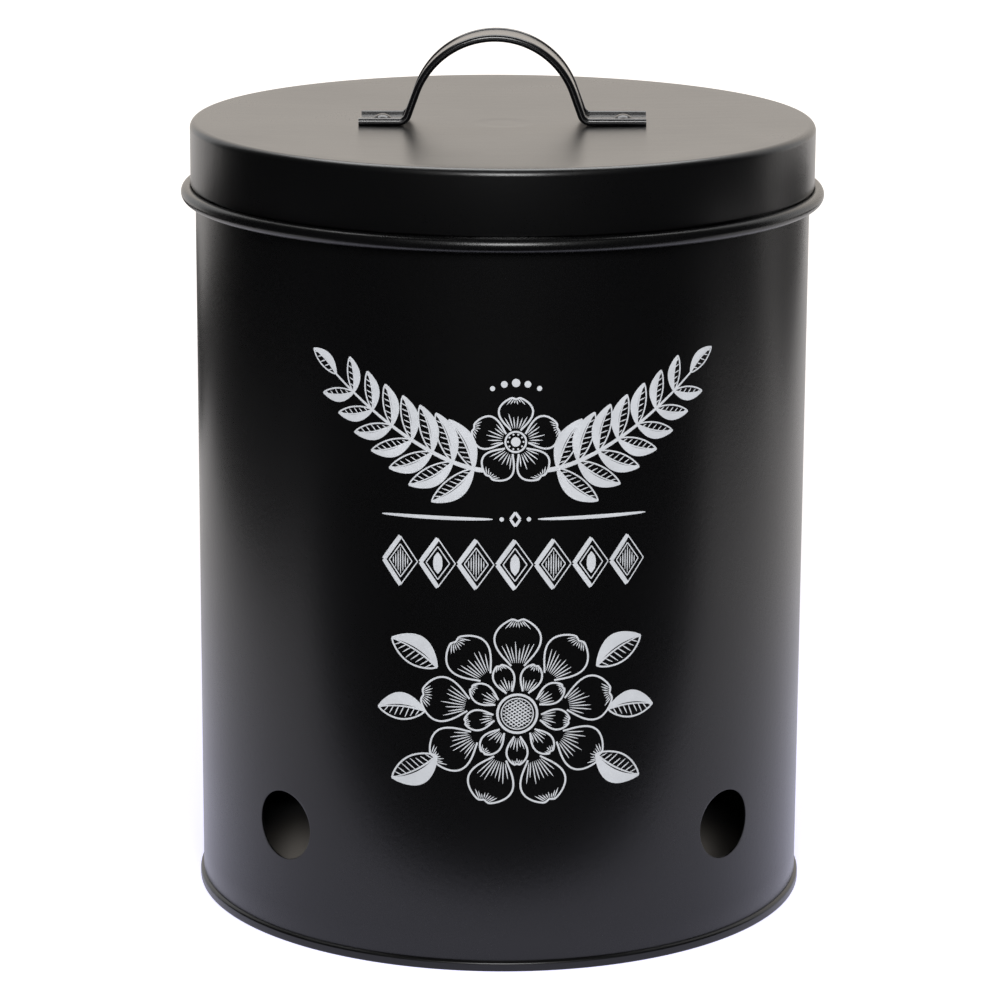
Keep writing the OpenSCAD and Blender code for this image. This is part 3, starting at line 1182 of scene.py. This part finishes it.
def powder_coat(name, dark, worn, rough, peel, gloss=0.0, wiped=0.0):
    """dark and worn are the coat's colours, rough its middle roughness, peel and wiped the strength
    of its waves and of its streaks."""
    made, tree, shader, place = new_material(name)
    cloud = noise(tree, place, CLOUD_SCALE, detail=4, rough=0.55)
    grain = noise(tree, place, GRAIN_SCALE, detail=2, rough=0.6)
    waves = noise(tree, place, WAVE_SCALE, detail=2, rough=0.5)
    edge = tree.nodes.new("ShaderNodeNewGeometry").outputs["Pointiness"]
    sharp = remap(tree, edge, 0, 1, SHARP_FROM, SHARP_TO)
    patches = remap(tree, cloud, 0.2, 1, from_low=0.35, from_high=0.7)
    patchy = maths(tree, "MULTIPLY", sharp, patches)
    cloudy = remap(tree, cloud, -CLOUD_GLOSS, CLOUD_GLOSS)
    uneven = maths(tree, "ADD", cloudy, remap(tree, grain, -GRAIN_GLOSS, GRAIN_GLOSS))
    flow = bump(tree, waves, peel, WAVE_H)
    if wiped:
        along = tree.nodes.new("ShaderNodeMapping")
        feed(along, {"Vector": place, "Scale": STREAK_SHAPE})
        streaks = noise(tree, along.outputs["Vector"], STREAK_SCALE, detail=3, rough=0.6)
        flow = bump(tree, streaks, wiped, WAVE_H, flow)
    feed(shader, {"Base Color": blend_colour(tree, patchy, dark, worn),
                  "Roughness": maths(tree, "ADD", uneven, rough),
                  "Normal": bump(tree, grain, GRAIN_PEEL * peel, GRAIN_H, flow),
                  "IOR": 1.5, "Specular IOR Level": SHINE,
                  "Coat Weight": gloss, "Coat Roughness": COAT_ROUGHNESS})
    return made


body_coat = powder_coat("body_powder_coat", BLACK, WORN_BLACK, rough=0.28, peel=0.35)
lid_coat = powder_coat("lid_powder_coat", BLACK, WORN_BLACK, rough=0.29, peel=0.35, gloss=0.1,
                       wiped=0.6)
base_coat = powder_coat("base_powder_coat", BLACK, WORN_BASE, rough=0.32, peel=0.3)
handle_coat = powder_coat("handle_gloss_coat", PAINT_BLACK, WORN_PAINT, rough=0.2, peel=0.25, gloss=0.1)
rivet_coat = powder_coat("rivet_gloss_coat", PAINT_BLACK, WORN_PAINT, rough=0.14, peel=0.2)
print("lid coat", len(lid_coat.node_tree.nodes), "nodes")

# %% [markdown]
# The ink is a thin matt white. It takes a little of the black below it where it is thin, so its
# colour varies slightly, and its surface has the fine tooth of the screen.

# %% Screen ink and dressing
INK_CLOUD_SCALE = 90
TOOTH_SCALE = 3200
TOOTH_H = 0.015 * MM
INK_FULL = (0.64, 0.66, 0.68)
INK_THIN = (0.5, 0.515, 0.53)


def screen_ink(name, full, thin):
    made, tree, shader, place = new_material(name)
    cloud = noise(tree, place, INK_CLOUD_SCALE, detail=3, rough=0.6)
    grain = noise(tree, place, TOOTH_SCALE, detail=2, rough=0.6)
    patchy = remap(tree, cloud, 0, 1, from_low=0.3, from_high=0.75)
    speckled = remap(tree, grain, 0.2, 1, from_low=0.3, from_high=0.7)
    cover = maths(tree, "MULTIPLY", patchy, speckled)
    feed(shader, {"Base Color": blend_colour(tree, cover, thin, full),
                  "Roughness": remap(tree, grain, 0.5, 0.66),
                  "Normal": bump(tree, grain, strength=0.4, distance=TOOTH_H),
                  "Specular IOR Level": 0.35})
    return made


white_ink = screen_ink("white_screen_ink", INK_FULL, INK_THIN)
for drawing in prints:
    dress(drawing, white_ink, "bin", "print_ink")
dress(wall, body_coat, "bin", "body_coat", "body_wall")
dress(base, base_coat, "bin", "base_coat", "base_plate")
dress(lid, lid_coat, "lid", "lid_coat", "lid_shell")
dress(handle, handle_coat, "lid", "handle_coat", "handle_strap")
dress(rivets[0], rivet_coat, "lid", "rivet_coat", "rivet_left")
dress(rivets[1], rivet_coat, "lid", "rivet_coat", "rivet_right")
print("materials", sorted(m.name for m in bpy.data.materials if m.use_nodes))

# %% [markdown]
# ## Floor and surroundings
# A dark glossy object shows its surroundings more than its own colour. The bin stands on a pale floor
# in a white room. The floor's glow is painted light: bluish near the bin, a painted reflection that
# tints the low wall, and brighter and warmer far behind, a painted pool of lamp light. A last part of
# the glow is for the camera alone and keeps the floor white. Black cloths lie all round and hang at
# the front, at the sides and above. A warm board, a brighter panel and an overhead board stand behind.
# Only reflections see the cloths and the boards: they keep the coat deep black in front and pale on
# the lid, and light nothing. Each line of the list gives a cloth's half sizes, its middle and its turn.

# %% Lay the floor and hang the cloths
FLOOR_HALF = 6.0
FLOOR_COLOUR = (0.77, 0.77, 0.84)
# The two glow colours are painted light: a bluish painted reflection near the bin, a warm painted pool of
# light far behind.
NEAR_GLOW = (0.97, 0.96, 1.32)
FAR_GLOW = (1.0, 0.93, 0.82)
NEAR_LIGHT = 0.41
FAR_LIGHT = 0.66
LIGHT_FROM = 0.35
LIGHT_TO = 1.5
WARM_FROM = 0.14
WARM_TO = 0.48
DIRECT_LIGHT = 0.16
CLOTH_LIFT = 0.004
CURTAIN_HALF_H = 1.3
UPRIGHT = math.radians(90)


def plane(name, half_x, half_y, place, turn=(0, 0, 0)):
    bpy.ops.mesh.primitive_plane_add(size=2, location=place, rotation=turn)
    obj = added(name)
    obj.scale = (half_x, half_y, 1)
    bpy.ops.object.transform_apply()
    obj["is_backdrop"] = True
    return obj


def seen_white(tree):
    """1 for rays from the camera and for rays mirrored or let through, else 0."""
    path = tree.nodes.new("ShaderNodeLightPath")
    mirrored = maths(tree, "MAXIMUM", path.outputs["Is Glossy Ray"], path.outputs["Is Transmission Ray"])
    return maths(tree, "MAXIMUM", path.outputs["Is Camera Ray"], mirrored)


def floor_material():
    """Pale and matt, with a glow of painted light that grows and gets warmer with the distance from the
    bin.
    """
    made, tree, shader, place = new_material("pale_floor")
    length = tree.nodes.new("ShaderNodeVectorMath")
    length.operation = "LENGTH"
    feed(length, {0: place})
    distance = length.outputs["Value"]
    warmth = remap(tree, distance, 0, 1, WARM_FROM, WARM_TO)
    light = remap(tree, distance, NEAR_LIGHT, FAR_LIGHT, LIGHT_FROM, LIGHT_TO)
    glow = maths(tree, "MULTIPLY", seen_white(tree), light)
    path = tree.nodes.new("ShaderNodeLightPath")
    direct = maths(tree, "MULTIPLY", path.outputs["Is Camera Ray"], DIRECT_LIGHT)
    feed(shader, {"Base Color": (*FLOOR_COLOUR, 1), "Roughness": 0.9, "Specular IOR Level": 0.0,
                  "Emission Color": blend_colour(tree, warmth, NEAR_GLOW, FAR_GLOW),
                  "Emission Strength": maths(tree, "ADD", glow, direct)})
    return made


def board_material(name, colour, strength):
    made, _, shader, _ = new_material(name)
    feed(shader, {"Base Color": (0.01, 0.01, 0.01, 1), "Roughness": 1.0, "Specular IOR Level": 0.0,
                  "Emission Color": (*colour, 1), "Emission Strength": strength})
    return made


def only_reflected(obj, material):
    obj.data.materials.append(material)
    obj.visible_camera = False
    obj.visible_diffuse = False
    obj.visible_transmission = False
    obj.visible_shadow = False


floor = plane("floor", FLOOR_HALF, FLOOR_HALF, (0, 0, 0))
floor.data.materials.append(floor_material())

black_cloth = board_material("black_cloth", (0, 0, 0), 0.0)
cloths = [
    plane("front_floor_cloth", 0.8, 0.9, (0.1, -1.065, CLOTH_LIFT)),
    plane("left_floor_cloth", 0.9, 1.45, (-1.4, -0.55, CLOTH_LIFT)),
    plane("right_floor_cloth", 0.9, 1.19, (1.7, -0.81, CLOTH_LIFT)),
    plane("rear_left_floor_cloth", 0.12, 0.3, (-0.38, 0.9, CLOTH_LIFT)),
    plane("rear_right_floor_cloth", 0.35, 0.36, (1.0, 0.82, CLOTH_LIFT)),
    plane("front_curtain", 2.4, CURTAIN_HALF_H, (0, -2.0, CURTAIN_HALF_H), (UPRIGHT, 0, 0)),
    plane("left_curtain", 1.7, CURTAIN_HALF_H, (-1.7, -0.3, CURTAIN_HALF_H), (UPRIGHT, 0, UPRIGHT)),
    plane("right_curtain", 1.3, CURTAIN_HALF_H, (1.7, -0.7, CURTAIN_HALF_H), (UPRIGHT, 0, UPRIGHT)),
    plane("overhead_cloth", 1.7, 0.7, (0, -0.62, 2.2)),
]
for cloth in cloths:
    only_reflected(cloth, black_cloth)

BOARD_Y = 2.0
BOARD_COLOUR = (1.0, 0.925, 0.845)
BOARD_LIGHT = 1.0
PANEL_LIGHT = 1.3
OVERHEAD_LIGHT = 6.0
board = plane("rear_board", 1.3, 0.35, (0.4, BOARD_Y, 0.35), (UPRIGHT, 0, 0))
only_reflected(board, board_material("warm_board", BOARD_COLOUR, BOARD_LIGHT))
panel = plane("rear_panel", 1.3, 0.6, (0.4, BOARD_Y, 1.3), (UPRIGHT, 0, 0))
only_reflected(panel, board_material("bright_panel", BOARD_COLOUR, PANEL_LIGHT))
overhead = plane("overhead_board", 0.9, 0.6, (0, 0.85, 1.9), (math.pi, 0, 0))
only_reflected(overhead, board_material("overhead_light_board", (1, 1, 1), OVERHEAD_LIGHT))
print("stage", len(cloths), "cloths and", [o.name for o in (floor, board, panel, overhead)])

# %% [markdown]
# ## Light
# One soft box hangs in front and above. It draws the narrow highlights on the bead, the lid's corner
# and the handle, and lights the print. The white room gives the rest. The world is plain white where
# the camera or a reflection sees it, and a softer grey as a lamp, so that colours render about as
# they are written.

# %% Place the lights
SOFTBOX_W = 0.42
SOFTBOX_H = 0.57
SOFTBOX_PLACE = (0, -1.2, 0.89)
SOFTBOX_TARGET = (0, 0, 0.2)
SOFTBOX_RADIANCE = 16.0
ROOM_LIGHT = 0.55

lamp_data = bpy.data.lights.new("front_softbox", "AREA")
lamp_data.shape = "RECTANGLE"
lamp_data.size = SOFTBOX_W
lamp_data.size_y = SOFTBOX_H
lamp_data.energy = SOFTBOX_RADIANCE * math.pi * SOFTBOX_W * SOFTBOX_H
lamp = bpy.data.objects.new("front_softbox", lamp_data)
bpy.context.scene.collection.objects.link(lamp)
aim = Vector(SOFTBOX_TARGET) - Vector(SOFTBOX_PLACE)
lamp.location = SOFTBOX_PLACE
lamp.rotation_euler = aim.to_track_quat("-Z", "Y").to_euler()
lamp.visible_camera = False

world = bpy.data.worlds.new("white_room")
bpy.context.scene.world = world
world.use_nodes = True
sky = world.node_tree
strength = remap(sky, seen_white(sky), ROOM_LIGHT, 1)
feed(sky.nodes["Background"], {"Color": (1, 1, 1, 1), "Strength": strength})
bpy.context.scene.view_settings.view_transform = "Standard"

# %% [markdown]
# ## Both boxes
# The dressed bin has to fill the same box as the construction, so both boxes are printed side by
# side.

# %% Print both boxes
size = {"cad": [list(corner) for corner in cad_box], "visual": [list(corner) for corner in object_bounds()]}
for name, corners in size.items():
    print(name, [[round(x / MM, 2) for x in corner] for corner in corners])
